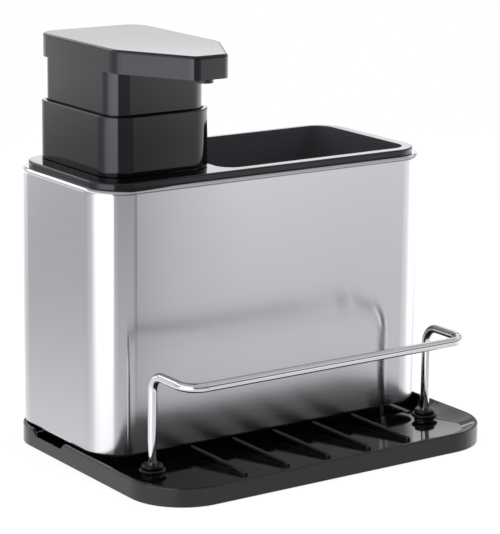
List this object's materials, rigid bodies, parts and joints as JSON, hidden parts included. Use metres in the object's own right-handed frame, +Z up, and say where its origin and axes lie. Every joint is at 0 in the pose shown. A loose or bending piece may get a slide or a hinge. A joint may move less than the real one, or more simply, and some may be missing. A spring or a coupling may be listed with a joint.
{
  "type": "soap pump caddy",
  "caption": "Sink caddy: square press pump and soap tank beside an open brush well in a brushed steel body, on a sloped drip tray with a wire rail that keeps a sponge in.",
  "frame": {"origin": "on the ground, under the middle of the drip tray", "axes": "+X to the right, +Y to the back, away from the rail and the spout, +Z up"},
  "size_m": [0.195, 0.143, 0.1983],
  "materials": {
    "brushed_steel": "brushed along its length",
    "bright_wire": "polished stainless wire",
    "black_gloss": "glossy moulded plastic",
    "black_satin": "satin moulded plastic",
    "tank_plastic": "natural blow-moulded plastic",
    "pump_plastic": "natural moulded plastic",
    "black_rubber": "smooth moulded rubber",
    "grey_rubber": "matte rubber",
    "small_steel": "plain stainless"
  },
  "bodies": {
    "tray": {"base_tray": "black_gloss", "foot_front_left": "grey_rubber", "foot_front_right": "grey_rubber", "foot_back_left": "grey_rubber", "foot_back_right": "grey_rubber", "wire_rail": "bright_wire", "rail_socket_left": "black_rubber", "rail_socket_right": "black_rubber"},
    "caddy": {"steel_shell": "brushed_steel", "inner_housing": "black_gloss", "brush_well": "black_gloss", "bottom_plate": "black_satin", "plate_screws": "small_steel"},
    "soap_tank": {"soap_tank": "tank_plastic"},
    "pump": {"pump_collar": "black_gloss", "closure_ring": "black_satin", "closure_gasket": "black_rubber", "pump_cylinder": "pump_plastic", "stem_guide": "pump_plastic", "ball_cage": "pump_plastic", "dip_tube": "pump_plastic", "pump_spring": "small_steel"},
    "inlet_ball": {"inlet_ball": "small_steel"},
    "head": {"piston": "pump_plastic", "piston_seal": "black_rubber", "pump_stem": "pump_plastic", "head_base": "black_gloss", "head_cover": "black_gloss", "spout_tube": "pump_plastic", "nozzle": "black_satin"}
  },
  "joints": [
    {"name": "caddy_lift", "type": "slide", "parent": "tray", "child": "caddy", "axis": [0, 0, 1], "range_m": [0, 0.03]},
    {"name": "tank_lift", "type": "slide", "parent": "caddy", "child": "soap_tank", "axis": [0, 0, 1], "range_m": [0, 0.125]},
    {"name": "pump_lift", "type": "slide", "parent": "soap_tank", "child": "pump", "axis": [0, 0, 1], "range_m": [0, 0.131]},
    {"name": "head_press", "type": "slide", "parent": "pump", "child": "head", "axis": [0, 0, -1], "range_m": [0, 0.016], "stiffness_N_per_m": 600, "springref_m": -0.012, "deforming": ["pump_spring"]},
    {"name": "inlet_ball_lift", "type": "slide", "parent": "pump", "child": "inlet_ball", "axis": [0, 0, 1], "range_m": [0, 0.0015]}
  ]
}
